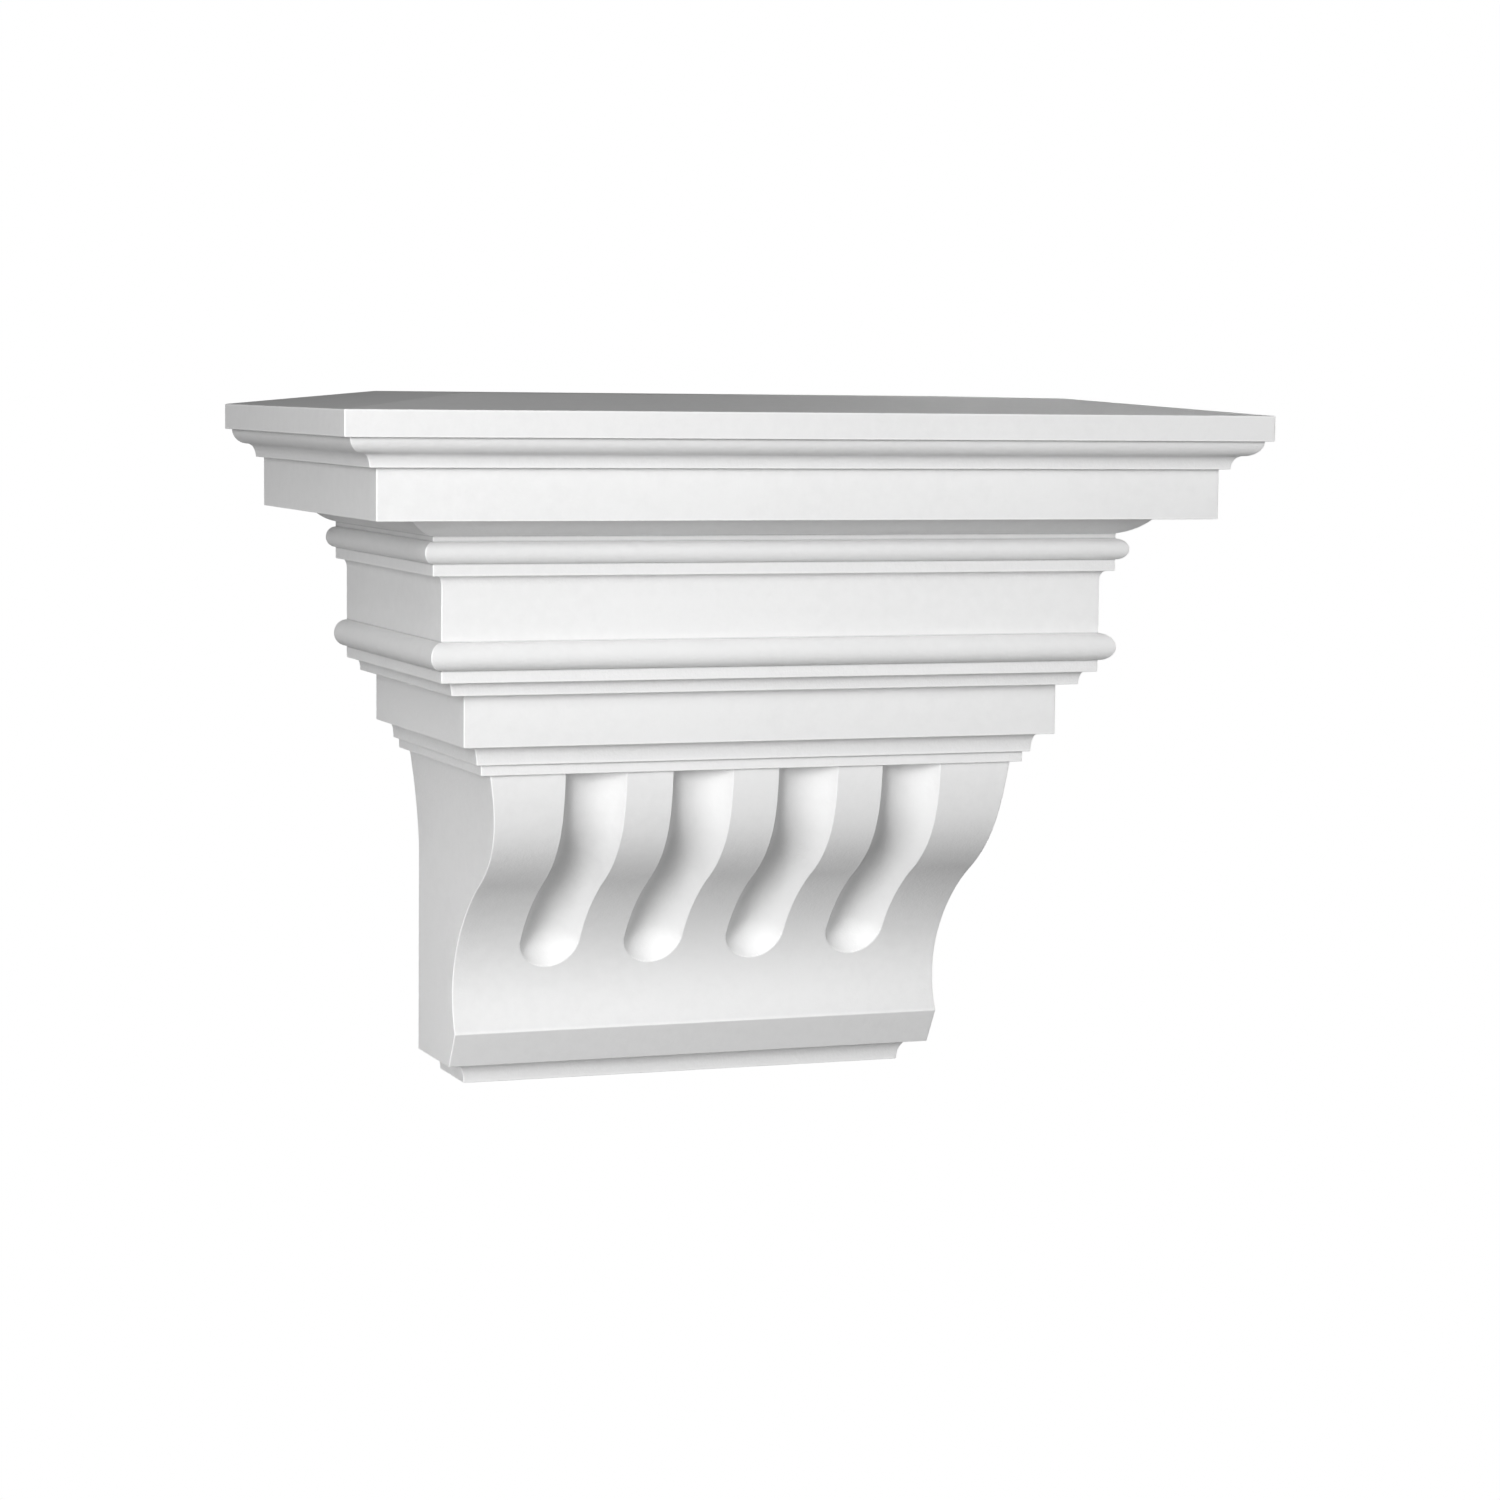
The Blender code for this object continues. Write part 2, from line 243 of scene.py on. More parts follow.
def bead(out, down):
    """Half an ellipse that stands out from a plumb face: outwards by sin, down by 1 - cos."""
    turn = np.linspace(0, np.pi, 2 * QUARTER_STEPS + 1)
    return np.column_stack((-out * np.sin(turn), -down / 2 * (1 - np.cos(turn))))


def bowed(inwards, down):
    """A parabola that stands out square from its chord by 4 bulge t (1 - t)."""
    along = np.linspace(0, 1, QUARTER_STEPS + 1)
    out = 4 * OVOLO_BULGE * along * (1 - along) / math.hypot(inwards, down)
    return np.column_stack((inwards * along - down * out, -down * along - inwards * out))


def moulding(way, inwards, down):
    """One moulding's points from its start, in metres."""
    inwards, down = inwards * MILLIMETRE, down * MILLIMETRE
    if way in ("round", "hollow"):
        return quarter(inwards, down, way == "hollow")
    return {"straight": straight, "bead": bead, "bowed": bowed}[way](inwards, down)


def entablature_runs(sizes):
    """The table's rim, the slope, the mouldings and the soffit's rim, each one from where the last one
    ended, as (side setback, front setback, level), with the same setback on the sides and the front."""
    table = straight(-RIM, 0), straight(-sizes.table_setback, TABLE_RISE)
    mouldings = [moulding(way, inwards, down) for _, way, inwards, down in ENTABLATURE]
    here = np.array((sizes.table_setback + RIM, sizes.top))
    runs = []
    for points in (*table, *mouldings, straight(SOFFIT_RIM, 0)):
        runs.append((here + points)[:, [0, 0, 1]])
        here = here + points[-1]
    return runs


def distances(points):
    """How far along the front profile each point lies: the sum of the steps before it, where a step is
    the root of its squared run and drop."""
    steps = np.hypot(*np.diff(points[:, -2:], axis=0).T)
    return np.concatenate(([0.0], np.cumsum(steps)))


def at_distances(points, where):
    """The profile read at these distances, straight between its points."""
    along = distances(points)
    return np.column_stack([np.interp(where, along, column) for column in points.T])


def bezier(start, leave, arrive, end, t):
    """The cubic (1-t)^3 start + 3 (1-t)^2 t leave + 3 (1-t) t^2 arrive + t^3 end."""
    t = t[:, None]
    return (1 - t) ** 3 * start + 3 * (1 - t) ** 2 * t * leave + 3 * (1 - t) * t**2 * arrive + t**3 * end


def front_curve(sizes, start):
    """The S-curve as (setback, level): two cubics that share their lean at the turning point. A handle
    goes its share of the body's height along (sin, -cos) of its lean."""
    toe = np.array([sizes.projection - sizes.toe_projection, start[1] - sizes.body_height])
    turn = start + (toe - start) * (TURN_RUN_SHARE, TURN_DROP_SHARE)
    leans = np.radians([TOP_LEAN, TURN_LEAN, TURN_LEAN, TOE_LEAN])
    ways = np.column_stack((np.sin(leans), -np.cos(leans)))
    handles = ways * sizes.body_height * np.array(HANDLE_SHARES)[:, None]
    t = np.linspace(0, 1, CURVE_POINTS)
    upper = bezier(start, start + handles[0], turn - handles[1], turn, t)
    lower = bezier(turn, turn + handles[2], toe - handles[3], toe, t[1:])
    return np.vstack((upper, lower))


def rows_of_front(length, fine_from, fine_to):
    """Distances down the front: coarse, then fine over the flutes' round ends, then coarse again."""
    def spread(start, end, pitch):
        """Even steps of about the pitch, without the end."""
        return np.linspace(start, end, max(2, round((end - start) / pitch)), endpoint=False)

    return np.concatenate((
        spread(0, fine_from, COARSE_ROW),
        spread(fine_from, fine_to, FINE_ROW),
        spread(fine_to, length, COARSE_ROW),
        [length],
    ))


def body_runs(sizes, cap_setback, level):
    """The body end to end as (side setback, front setback, level), and how far down the front the
    middle of a flute's round end lies. The sides go in by depth (1 - (1 - drop / height)^power)."""
    curve = front_curve(sizes, np.array((cap_setback + BODY_FRONT_STEP, level)))
    along = distances(curve)
    end_level = curve[-1, 1] + sizes.flute_end
    end = float(np.interp(-end_level, -curve[:, 1], along))
    reach = sizes.flute_width / 2 + FLUTE_MARGIN
    curve = at_distances(curve, rows_of_front(along[-1], end - FLUTE_MARGIN, end + reach))
    rest = np.clip(1 - (level - curve[:, 1]) / SPLAY_HEIGHT, 0, 1)
    side = cap_setback + BODY_SIDE_STEP + SPLAY_DEPTH * (1 - rest**SPLAY_POWER)
    runs = [np.column_stack((side, curve))]

    def add(side_in, front_in, points):
        """A run from where the last one ended; its setbacks are scaled for the side and the front."""
        runs.append(runs[-1][-1] + points[:, [0, 0, 1]] * (side_in, front_in, 1))

    add(0, 1, straight(CHAMFER_DEPTH, CHAMFER_HEIGHT))
    add(FOOT_SIDE_STEP, FOOT_FRONT_STEP, straight(1, 0))
    add(1, 1, quarter(FOOT_COVE_DEPTH, FOOT_COVE_HEIGHT, hollow=True))
    add(1, 1, straight(RIM, 0))
    return runs, end


def softened(runs, arris, nook):
    """The runs joined into rows, and each row's relief: 1 on an arris, -1 in a nook, a share of that where
    the flat begins, and 0 elsewhere. The primer paints a highlight where it is above 0 and shade where it
    is below 0. A joint that turns is cut back on both sides and bridged by (1-t)^2 a + 2 t (1-t) corner +
    t^2 b."""
    ways = []
    for run in runs:
        steps = np.diff(run[:, 1:], axis=0)
        ways.append(steps[[0, -1]] / np.linalg.norm(steps[[0, -1]], axis=1)[:, None])
    cross = [a[1, 0] * b[0, 1] - a[1, 1] * b[0, 0] for a, b in zip(ways, ways[1:])]
    turn = [math.acos(min(1.0, float(a[1] @ b[0]))) for a, b in zip(ways, ways[1:])]
    lengths = [distances(run)[-1] for run in runs]
    cuts = [0.0]
    for index, (side, angle) in enumerate(zip(cross, turn)):
        radius = arris if side > 0 else nook
        most = MOST_CUT * min(lengths[index], lengths[index + 1])
        cuts.append(min(radius * math.tan(angle / 2), most) if angle > SMOOTH_TURN else 0.0)
    cuts.append(0.0)

    rows, relief = [], []
    for index, run in enumerate(runs):
        head, tail = cuts[index], lengths[index] - cuts[index + 1]
        along = distances(run)
        inside = along[(along > head + LEAST_ROW) & (along < tail - LEAST_ROW)]
        if len(run) == 2 and tail - head > FLANKED:
            inside = np.array([head + FLANK, tail - FLANK])
        points = at_distances(run, np.concatenate(([head], inside, [tail])))
        if rows and not cuts[index]:
            points = points[1:]
        marks = np.zeros(len(points))
        if index and cuts[index]:
            marks[0] = math.copysign(RIM_RELIEF, cross[index - 1])
        if index < len(turn) and cuts[index + 1]:
            marks[-1] = math.copysign(RIM_RELIEF, cross[index])
        rows.append(points)
        relief.append(marks)
        if index < len(turn) and cuts[index + 1]:
            count = max(2, math.ceil(CORNER_STEPS * turn[index] / (math.pi / 2)))
            t = (np.arange(1, count) / count)[:, None]
            start, corner = points[-1], run[-1]
            end = at_distances(runs[index + 1], [cuts[index + 1]])[0]
            rows.append((1 - t) ** 2 * start + 2 * t * (1 - t) * corner + t**2 * end)
            bulge = np.sqrt(np.sin(np.pi * t[:, 0]))
            relief.append(bulge if cross[index] > 0 else -bulge)
    return np.vstack(rows), np.concatenate(relief)


class Plan:
    """Columns round the plan, from the wall along the left side, the front and the right side. Each
    coordinate is a share of the row's reach, plus a share of the corner's radius, plus a length."""

    def __init__(self, front_shares, front_lengths, radius):
        side_shares = np.array((0, 0.5, 1, 1))
        side_lengths = np.array((0, 0, -FLANK, 0))
        turn = np.linspace(0, np.pi / 2, CORNER_STEPS + 2)[1:-1]
        one, none = np.ones(len(turn)), np.zeros(len(turn))
        sides, fronts = np.ones(len(side_shares)), np.ones(len(front_shares))
        self.radius = radius
        self.across = np.concatenate((-sides, -one, front_shares, one, sides))
        self.across_round = np.concatenate((-sides, -np.cos(turn), 0 * fronts, np.sin(turn), sides))
        self.across_length = np.concatenate((0 * sides, none, front_lengths, none, 0 * sides))
        self.along = np.concatenate((side_shares, one, fronts, one, side_shares[::-1]))
        self.along_round = np.concatenate((0 * sides, np.sin(turn), fronts, np.cos(turn), 0 * sides))
        self.along_length = np.concatenate((side_lengths, none, 0 * fronts, none, side_lengths[::-1]))
        self.on_front = np.concatenate((0 * sides, none, fronts, none, 0 * sides)) > 0
        # the corner columns' relief paints a highlight along the vertical arrises
        bulge = np.sqrt(np.sin(2 * turn))
        self.relief = np.concatenate((0 * sides, bulge, 0 * fronts, bulge, 0 * sides))

    def place(self, half_width, projection):
        """X and Y of every column of every row: (reach - radius) times the column's share, plus the radius
        times its share of that, plus its length."""
        wide, deep = half_width[:, None] - self.radius, projection[:, None] - self.radius
        x = wide * self.across + self.radius * self.across_round + self.across_length
        y = -(deep * self.along + self.radius * self.along_round + self.along_length)
        return x, y

    def order(self, x, y):
        """A number that grows round the plan: 0 to 1 on the left side, 2 to 3 on the front, 4 to 5 on the
        right side. It pairs the columns of two rings."""
        wide, deep = x.max() - self.radius, -y.min() - self.radius
        left = np.clip(-y / deep, 0, 1) + np.clip((x + x.max()) / self.radius, 0, 1)
        front = np.clip((x / wide + 1) / 2, 0, 1)
        right = np.clip((x - wide) / self.radius, 0, 1) + 1 - np.clip(-y / deep, 0, 1)
        return left + front + right * (x > 0)


def plain_plan(sizes):
    """The entablature's columns: few, because its front and sides are straight."""
    shares = np.array((-1, -1, -0.5, 0, 0.5, 1, 1.0))
    lengths = np.array((0, FLANK, 0, 0, 0, -FLANK, 0))
    return Plan(shares, lengths, sizes.arris)


def flute_centres(sizes):
    """X of each flute's middle: its number, counted from the middle of all of them, times the pitch."""
    return (np.arange(FLUTES) - (FLUTES - 1) / 2) * sizes.flute_pitch


def fluted_plan(sizes):
    """The body's columns: fine across each flute, few on the lands between them. Past the last fixed
    column, x = share * reach + (1 - share) * last - share * flank."""
    reach = sizes.flute_width / 2 + FLUTE_MARGIN
    centres = flute_centres(sizes)
    flute = np.linspace(-reach, reach, FLUTE_COLUMNS + 1)
    land = np.linspace(reach, sizes.flute_pitch - reach, LAND_COLUMNS + 1)[1:-1]
    fixed = (centres[:, None] + np.concatenate((flute, land))).ravel()[: -len(land)]
    outer = np.linspace(0, 1, LAND_COLUMNS)[1:]
    shares = np.concatenate(([1], outer[::-1], 0 * fixed, outer, [1]))
    shares[: len(outer) + 1] *= -1
    out = np.concatenate(([0], (1 - outer[::-1]) * fixed[-1] - outer[::-1] * FLANK))
    lengths = np.concatenate((-out, fixed, out[::-1]))
    return Plan(shares, lengths, sizes.arris)


def flute_depth(sizes, x, past_end):
    """How deep the flutes are, and the relief of their lips, which paints a highlight along them. A flute
    is
    a round bar sunk in: with r the distance from its middle line and R the bar's radius,
    g = sqrt(R^2 - r^2) - (R - depth), and the sharp lip of max(g, 0) is eased to (g + lip)^2 / (4 lip)
    where g is within lip of 0. The relief is sqrt(1 - |g / lip - LIP_LINE|)."""
    half, depth, lip = sizes.flute_width / 2, sizes.flute_depth, sizes.flute_lip
    bar = (half**2 + depth**2) / (2 * depth)
    aside = np.abs(x[..., None] - flute_centres(sizes)).min(axis=-1)
    off = np.hypot(aside, np.maximum(past_end, 0)[:, None])
    g = np.sqrt(np.maximum(bar**2 - off**2, 0)) - (bar - depth)
    eased = np.where(g > lip, g, np.clip(g + lip, 0, None) ** 2 / (4 * lip))
    return eased, np.sqrt(np.clip(1 - np.abs(g / lip - LIP_LINE), 0, 1))


def smoothstep(t):
    """From 0 to 1 by t^2 (3 - 2 t)."""
    t = np.clip(t, 0, 1)
    return t * t * (3 - 2 * t)


def entablature_grid(sizes):
    """The entablature's plan, points and relief: each row keeps one level, set back alike all round."""
    rows, relief = softened(entablature_runs(sizes), sizes.arris, sizes.nook)
    plan = plain_plan(sizes)
    x, y = plan.place(sizes.width / 2 - rows[:, 0], sizes.projection - rows[:, 1])
    z = np.repeat(rows[:, 2:], x.shape[1], axis=1)
    return plan, np.stack((x, y, z), axis=-1), blended_relief(relief[:, None], plan.relief, 0 * x)


def body_grid(sizes, cap_setback, level):
    """The body's plan, points and relief. A flute's depth goes along the front's normal: into the wall by
    the drop of the front's unit step, and up by its run, which smoothstep eases in below the top edge. The
    arris of the toe marks the front only, since the sides run plumb past it."""
    runs, end = body_runs(sizes, cap_setback, level)
    rows, relief = softened(runs, sizes.arris, sizes.nook)
    plan = fluted_plan(sizes)
    x, y = plan.place(sizes.width / 2 - rows[:, 0], sizes.projection - rows[:, 1])
    z = np.repeat(rows[:, 2:], x.shape[1], axis=1)
    along = distances(rows)
    way = np.gradient(rows[:, 1:], along, axis=0)
    depth, lip = flute_depth(sizes, x, along - end)
    toe = distances(runs[0])[-1]
    above_toe = along < toe - FLANK
    depth = depth * plan.on_front * above_toe[:, None]
    rise = way[:, 0] * smoothstep(along / TOP_EASE)
    y += depth * -way[:, 1:2]
    z += depth * rise[:, None]
    lip = lip * plan.on_front * above_toe[:, None]
    across = np.repeat(relief[:, None], x.shape[1], axis=1)
    across[np.ix_(np.abs(along - toe) < FLANK, ~plan.on_front)] = 0
    return plan, np.stack((x, y, z), axis=-1), blended_relief(across, plan.relief, lip)


def blended_relief(rows, columns, lip):
    """Painted nook shade wins over painted arris highlight, and the strongest highlight wins over the rest.
    """
    return np.where(rows < 0, rows, np.maximum(np.maximum(rows, columns), lip))


def grid_faces(numbers):
    """Four-sided faces between neighbouring rows and columns."""
    corners = (numbers[:-1, :-1], numbers[1:, :-1], numbers[1:, 1:], numbers[:-1, 1:])
    return np.stack(corners, axis=-1).reshape(-1, 4)


def band_faces(upper, upper_order, lower, lower_order):
    """Triangles between two rings with unlike columns. Each step along a ring takes, on the other ring,
    the column that its order has reached."""
    reached = np.searchsorted(lower_order[1:], upper_order[1:], side="left")
    down = np.column_stack((upper[:-1], lower[reached], upper[1:]))
    reached = np.searchsorted(upper_order[1:], lower_order[1:], side="right")
    across = np.column_stack((upper[reached], lower[:-1], lower[1:]))
    return np.vstack((down, across))


def mark_relief(mesh, relief):
    """Keeps the relief, which paints highlight and shade, on the corners of the faces, with none on the
    back, which is the last face.
    """
    corners = np.empty(len(mesh.loops), np.int32)
    mesh.loops.foreach_get("vertex_index", corners)
    values = relief[corners].astype(np.float32)
    back = mesh.polygons[len(mesh.polygons) - 1]
    values[back.loop_start : back.loop_start + back.loop_total] = 0
    mesh.attributes.new("relief", "FLOAT", "CORNER").data.foreach_set("value", values)


def console_mesh(sizes):
    """Both grids, the soffit between them, and the flat top, underside and back."""
    upper_plan, upper, upper_relief = entablature_grid(sizes)
    cap_setback = sizes.width / 2 - upper[-1, -1, 0] - SOFFIT_RIM
    lower_plan, lower, lower_relief = body_grid(sizes, cap_setback, float(upper[-1, 0, 2]))
    points = np.vstack((upper.reshape(-1, 3), lower.reshape(-1, 3)))
    relief = np.concatenate((upper_relief.ravel(), lower_relief.ravel()))
    above = np.arange(upper[..., 0].size).reshape(upper.shape[:2])
    below = np.arange(lower[..., 0].size).reshape(lower.shape[:2]) + above.size
    rim = upper_plan.order(upper[-1, :, 0], upper[-1, :, 1])
    throat_x, throat_y = lower_plan.place(
        np.array([lower[0, -1, 0]]), -lower[0, :, 1].min(keepdims=True)
    )
    throat = lower_plan.order(throat_x[0], throat_y[0])
    left = np.concatenate((above[:, 0], below[:, 0]))
    right = np.concatenate((above[:, -1], below[:, -1]))
    faces = [
        *grid_faces(above).tolist(),
        *grid_faces(below).tolist(),
        *band_faces(above[-1], rim, below[0], throat).tolist(),
        above[0].tolist(),
        below[-1, ::-1].tolist(),
        [*right.tolist(), *left[::-1].tolist()],
    ]
    mesh = bpy.data.meshes.new("console_bracket_primed")
    mesh.from_pydata(points, [], faces)
    mark_relief(mesh, relief)
    mesh.shade_smooth()
    mesh.set_sharp_from_angle(angle=SHARP_EDGE)
    if mesh.validate(verbose=True):
        raise RuntimeError("the bracket's mesh had faults")
    return mesh


WHITE = (1.0, 1.0, 1.0, 1.0)
MIX_FACTOR, MIX_FIRST, MIX_SECOND, MIX_RESULT = 0, 6, 7, 2  # a Mix node's sockets for colours


class Number:
    """A number that varies over a surface. Sums with it add Math nodes."""

    def __init__(self, paint, socket):
        self.paint, self.socket = paint, socket

    def math(self, operation, *values):
        """What a Math node makes of these values."""
        node = self.paint.node("Math", {"operation": operation}, dict(enumerate(values)))
        return Number(self.paint, node.outputs[0])

    def __add__(self, other):
        return self.math("ADD", self, other)

    def __sub__(self, other):
        return self.math("SUBTRACT", self, other)

    def __mul__(self, other):
        return self.math("MULTIPLY", self, other)

    __radd__ = __add__

    def kept(self):
        """Held between 0 and 1."""
        node = self.paint.node("Clamp", {}, {"Value": self})
        return Number(self.paint, node.outputs[0])


class Paint:
    """A material and the nodes that make it."""

    def __init__(self, name):
        self.material = bpy.data.materials.new(name)
        self.material.use_nodes = True
        self.tree = self.material.node_tree
        self.surface = self.tree.nodes["Principled BSDF"]

    def node(self, kind, settings, sockets):
        """One node: its settings first, then its sockets' values or links."""
        node = self.tree.nodes.new(f"ShaderNode{kind}")
        for name, value in settings.items():
            setattr(node, name, value)
        self.feed(node, sockets)
        return node

    def feed(self, node, sockets):
        """Sets a node's sockets to values, or links them."""
        for name, value in sockets.items():
            if isinstance(value, (Number, bpy.types.NodeSocket)):
                self.tree.links.new(getattr(value, "socket", value), node.inputs[name])
            else:
                node.inputs[name].default_value = value

    def number(self, kind, settings, sockets, output):
        """A new node's output as a Number."""
        return Number(self, self.node(kind, settings, sockets).outputs[output])

    def mix(self, factor, first, second):
        """A colour between two others."""
        sockets = {MIX_FACTOR: factor, MIX_FIRST: first, MIX_SECOND: second}
        return self.node("Mix", {"data_type": "RGBA"}, sockets).outputs[MIX_RESULT]


NOISE_MIDDLE = 0.5
CLOUD_DETAIL, MOTTLE_DETAIL, PEEL_DETAIL, STIPPLE_DETAIL = 3.0, 2.0, 2.0, 1.0
CLOUD_EDGE, CLOUD_CONTRAST, MOTTLE_CONTRAST = 0.42, 3.0, 2.2
STIPPLES = 3  # in the width of one grain of the peel
NOOK_SHADE, NOOK_BREAKS = 0.6, 0.5  # the painted shade that a nook has everywhere, and what the peel adds to it
CLOUD_MATTING, PEEL_MATTING, ARRIS_SHEEN = 0.12, 0.10, 0.06  # changes of roughness
PEEL_SHARE = 0.7  # of the bump; the stipple makes the rest
BUMP_STRENGTH = 0.6


def primer(look):
    """Matt white primer over a moulded skin: clouds and mottling where the coat is thin, orange peel,
    painted shade in the nooks and a painted highlight along the arrises and the flutes' lips."""
    paint = Paint("white_primer")
    place = paint.node("TexCoord", {}, {}).outputs["Object"]

    def noise(size_of_mark, detail):
        """A noise whose marks have this size."""
        sockets = {"Vector": place, "Scale": 1 / size_of_mark, "Detail": detail}
        return paint.number("TexNoise", {}, sockets, "Fac")

    # relief above 0 paints a highlight on the arrises and the flutes' lips, and below 0 paints shade in the
    # nooks
    relief = paint.number("Attribute", {"attribute_name": "relief"}, {}, "Fac")
    clouds, mottle = noise(look.clouds, CLOUD_DETAIL), noise(look.mottle, MOTTLE_DETAIL)
    peel, stipple = noise(look.grain, PEEL_DETAIL), noise(look.grain / STIPPLES, STIPPLE_DETAIL)
    cloudy, mottled = (clouds - CLOUD_EDGE) * CLOUD_CONTRAST, (mottle - NOISE_MIDDLE) * MOTTLE_CONTRAST
    nook, arris = (relief * -1.0).kept(), relief.kept()
    tone = paint.mix((cloudy + mottled).kept(), (*look.coat, 1.0), (*look.thin, 1.0))
    # painted highlight along the arrises and the flutes' lips
    tone = paint.mix(arris * look.painted_edge_highlight, tone, WHITE)
    # painted shade in the nooks, broken up by the peel
    tone = paint.mix(nook * (NOOK_SHADE + peel * NOOK_BREAKS), tone, (*look.painted_nook_shade, 1.0))
    height = peel * PEEL_SHARE + stipple * (1 - PEEL_SHARE)
    bump_sockets = {"Strength": BUMP_STRENGTH, "Distance": look.grain_height, "Height": height}
    bump = paint.node("Bump", {}, bump_sockets)
    matting = (clouds - NOISE_MIDDLE) * CLOUD_MATTING + (peel - NOISE_MIDDLE) * PEEL_MATTING
    paint.feed(paint.surface, {
        "Base Color": tone,
        "Roughness": matting + look.roughness - arris * ARRIS_SHEEN,
        "Specular IOR Level": look.specular,
        "Normal": bump.outputs[0],
    })
    return paint.material


def shown(item):
    """The object, put into the scene."""
    bpy.context.scene.collection.objects.link(item)
    return item


class BRACKET_OT_console(bpy.types.Operator):
    """Make the bracket and give it its primer"""

    bl_idname = "bracket.console"
    bl_label = "Console bracket"

    def execute(self, context):
        mesh = console_mesh(context.scene.bracket_sizes)
        mesh.materials.append(primer(context.scene.bracket_primer))
        piece = shown(bpy.data.objects.new("console_bracket_primed", mesh))
        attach(piece, "root")
        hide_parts("console_bracket")
        return {"FINISHED"}


def floor_mesh(level, reach):
    """A flat grid at one level: x and y run evenly from -reach to reach."""
    lines = np.linspace(-reach, reach, FLOOR_LINES)
    x, y = np.meshgrid(lines, lines)
    points = np.column_stack((x.ravel(), y.ravel(), np.full(x.size, level)))
    mesh = bpy.data.meshes.new("floor")
    numbers = np.arange(x.size).reshape(x.shape)
    mesh.from_pydata(points, [], grid_faces(numbers)[:, ::-1].tolist())
    return mesh


def seen_as_white(tree, tone, other):
    """Joins to the output a glow of this tone where it is looked at, and the other shader's light
    elsewhere."""
    glow, mix = tree.nodes.new("ShaderNodeEmission"), tree.nodes.new("ShaderNodeMixShader")
    glow.inputs["Color"].default_value = (*tone, 1.0)
    looked_at = tree.nodes.new("ShaderNodeLightPath").outputs["Is Camera Ray"]
    out = next(node for node in tree.nodes if node.type.startswith("OUTPUT"))
    for start, end in ((looked_at, 0), (other, 1), (glow.outputs[0], 2)):
        tree.links.new(start, mix.inputs[end])
    tree.links.new(mix.outputs[0], out.inputs["Surface"])


def floor_paint(tone, bounce):
    """A seamless pale floor that throws only a faint light back up."""
    paint = Paint("pale_floor")
    paint.feed(paint.surface, {
        "Base Color": (bounce, bounce, bounce, 1.0),
        "Roughness": FLOOR_ROUGHNESS,
        "Specular IOR Level": FLOOR_SPECULAR,
    })
    seen_as_white(paint.tree, tone, paint.surface.outputs[0])
    return paint.material


def pale_surround(tone, ambient):
    """As pale as the floor to look at, with a dim even light."""
    world = bpy.data.worlds.new("pale_surround")
    world.use_nodes = True
    light = world.node_tree.nodes["Background"]
    light.inputs["Strength"].default_value = ambient
    light.inputs["Color"].default_value = WHITE
    seen_as_white(world.node_tree, tone, light.outputs[0])
    return world


def from_side(aim, azimuth, elevation, distance):
    """A place round the aim: azimuth 0 lies in front of the bracket, and positive ones to its right. It is
    aim + distance * (sin a cos e, -cos a cos e, sin e)."""
    a, e = math.radians(azimuth), math.radians(elevation)
    return aim + distance * Vector((math.sin(a) * math.cos(e), -math.cos(a) * math.cos(e), math.sin(e)))


def soft_lamp(name, azimuth, elevation, distance, width, height, level, aim=AIM, spread=FULL_SPREAD):
    """An area lamp that faces the aim. Its power is level times pi squared times the distance squared, so
    that without a narrow spread a white card at the aim, turned to the lamp, shines with that level."""
    lamp = bpy.data.lights.new(name, "AREA")
    lamp.shape = "RECTANGLE"
    lamp.size, lamp.size_y = width, height
    lamp.energy = level * (math.pi * distance) ** 2
    lamp.spread = math.radians(spread)
    light = shown(bpy.data.objects.new(name, lamp))
    light.location = from_side(aim, azimuth, elevation, distance)
    light.rotation_mode = "QUATERNION"
    light.rotation_quaternion = (aim - light.location).to_track_quat("-Z", "Y")
    light.visible_camera = False


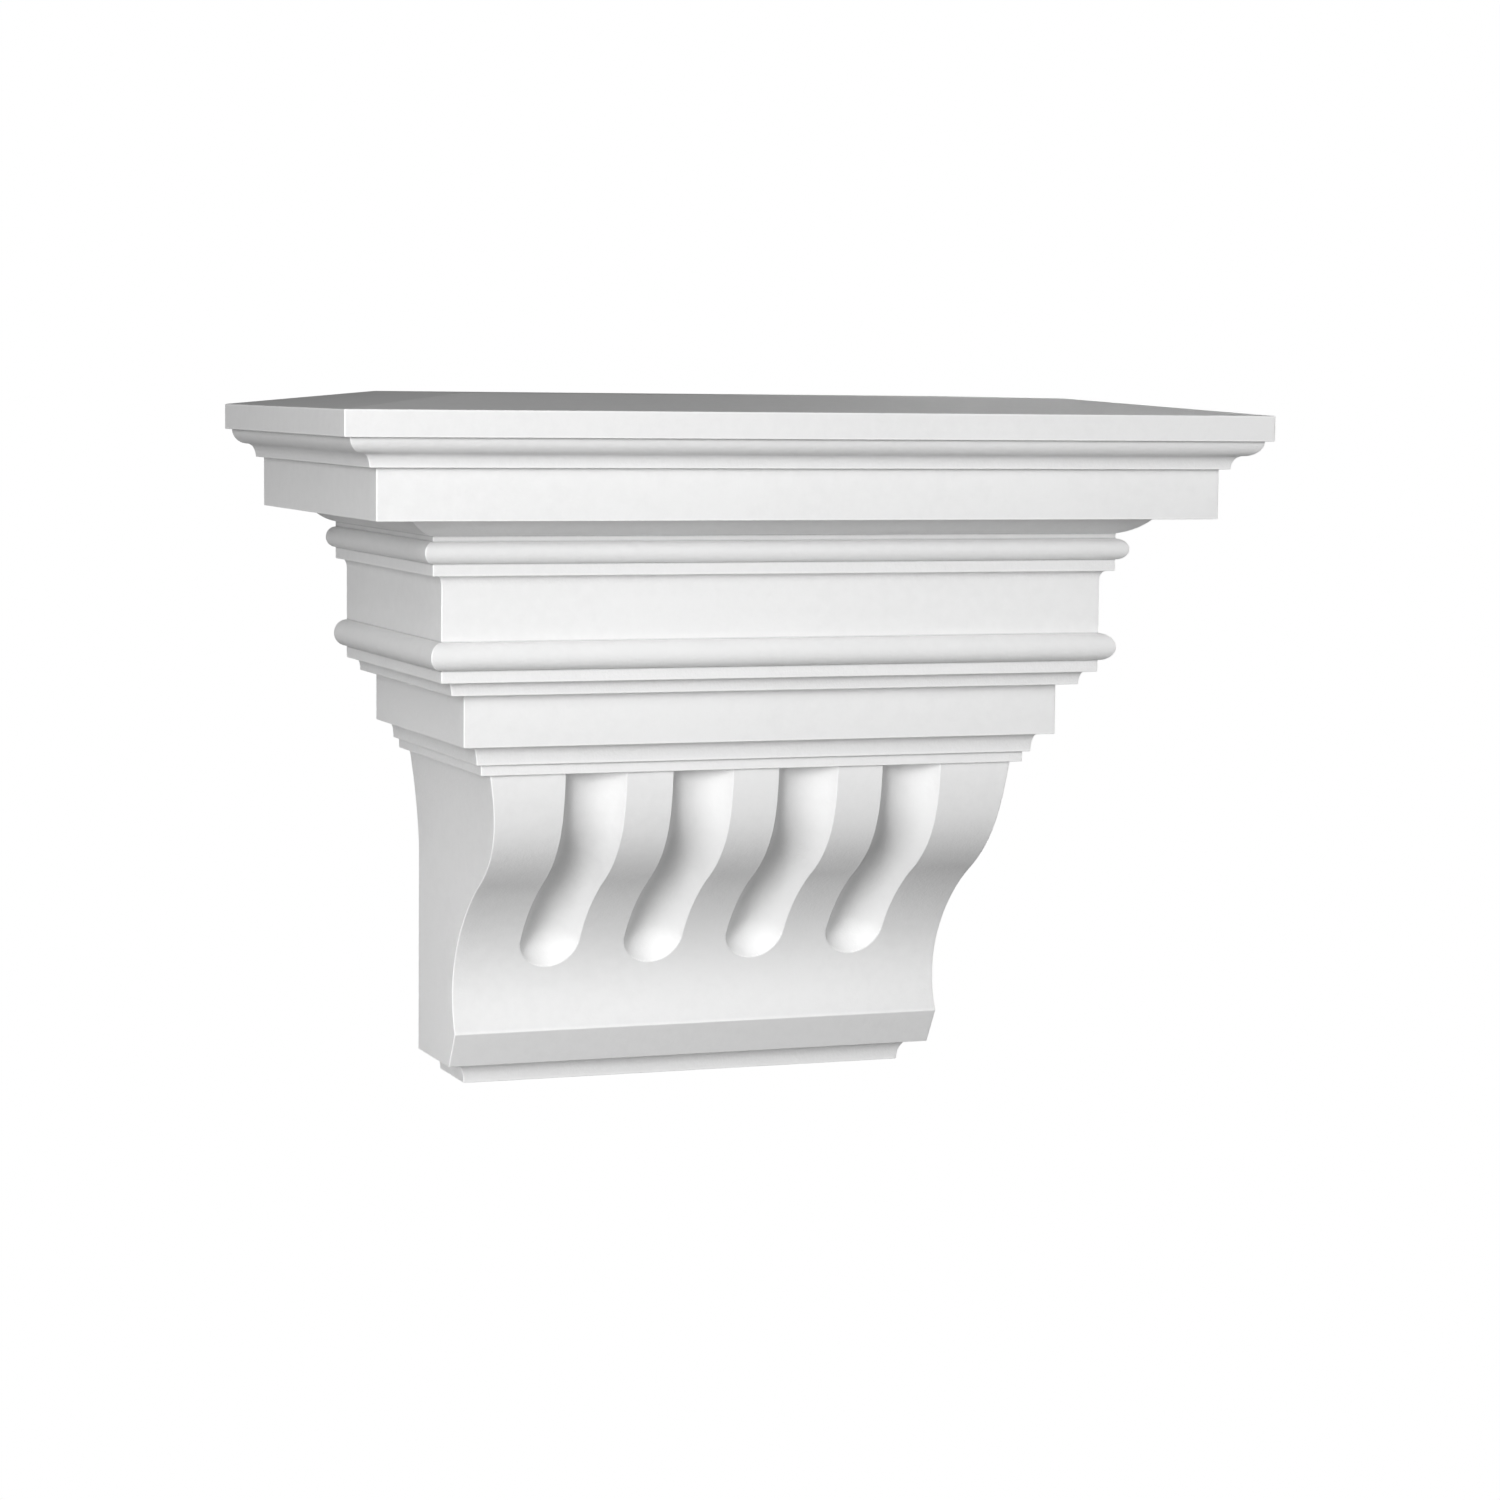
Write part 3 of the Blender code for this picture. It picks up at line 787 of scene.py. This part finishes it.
class BRACKET_OT_studio(bpy.types.Operator):
    """Make the floor, the lights and the camera"""

    bl_idname = "bracket.studio"
    bl_label = "Studio"

    def execute(self, context):
        scene, studio = context.scene, context.scene.bracket_studio
        floor = shown(bpy.data.objects.new(
            "floor", floor_mesh(CAD_LOW.z - studio.floor_drop, studio.floor_reach)
        ))
        floor.data.materials.append(floor_paint(studio.pale, studio.bounce))
        for lamp in LAMPS:
            soft_lamp(*lamp)
        soft_lamp(*BODY_SIDE_LAMP, BODY_SIDE_AIM, BODY_SIDE_SPREAD)
        scene.world = pale_surround(studio.pale, studio.ambient)
        lens = bpy.data.cameras.new("camera")
        lens.lens = studio.lens
        camera = shown(bpy.data.objects.new("camera", lens))
        camera.location = CAMERA_PLACE
        camera.rotation_mode = "QUATERNION"
        level = (CAMERA_AIM - CAMERA_PLACE).to_track_quat("-Z", "Y")
        camera.rotation_quaternion = level @ Quaternion((0, 0, 1), math.radians(CAMERA_ROLL))
        scene.camera = camera
        scene.view_settings.view_transform = "Standard"
        return {"FINISHED"}


class VIEW3D_PT_bracket(bpy.types.Panel):
    """Lists the bracket's operators and sizes"""

    bl_label = "Console bracket"
    bl_space_type = "VIEW_3D"
    bl_region_type = "UI"
    bl_category = "Bracket"

    def draw(self, context):
        for group in ("bracket_sizes", "bracket_primer", "bracket_studio"):
            settings = getattr(context.scene, group)
            box = self.layout.box()
            for name in settings.__annotations__:
                box.prop(settings, name)
        self.layout.operator(BRACKET_OT_console.bl_idname)
        self.layout.operator(BRACKET_OT_studio.bl_idname)


GROUPS = {"bracket_sizes": BracketSizes, "bracket_primer": PrimerLook, "bracket_studio": Studio}
CLASSES = (*GROUPS.values(), BRACKET_OT_console, BRACKET_OT_studio, VIEW3D_PT_bracket)


def register():
    for item in CLASSES:
        bpy.utils.register_class(item)
    for name, group in GROUPS.items():
        setattr(bpy.types.Scene, name, bpy.props.PointerProperty(type=group))


def unregister():
    for name in GROUPS:
        delattr(bpy.types.Scene, name)
    for item in reversed(CLASSES):
        bpy.utils.unregister_class(item)


def main():
    """Makes the bracket and the studio."""
    register()
    bpy.ops.bracket.console()
    bpy.ops.bracket.studio()


if __name__ == "__main__":
    main()
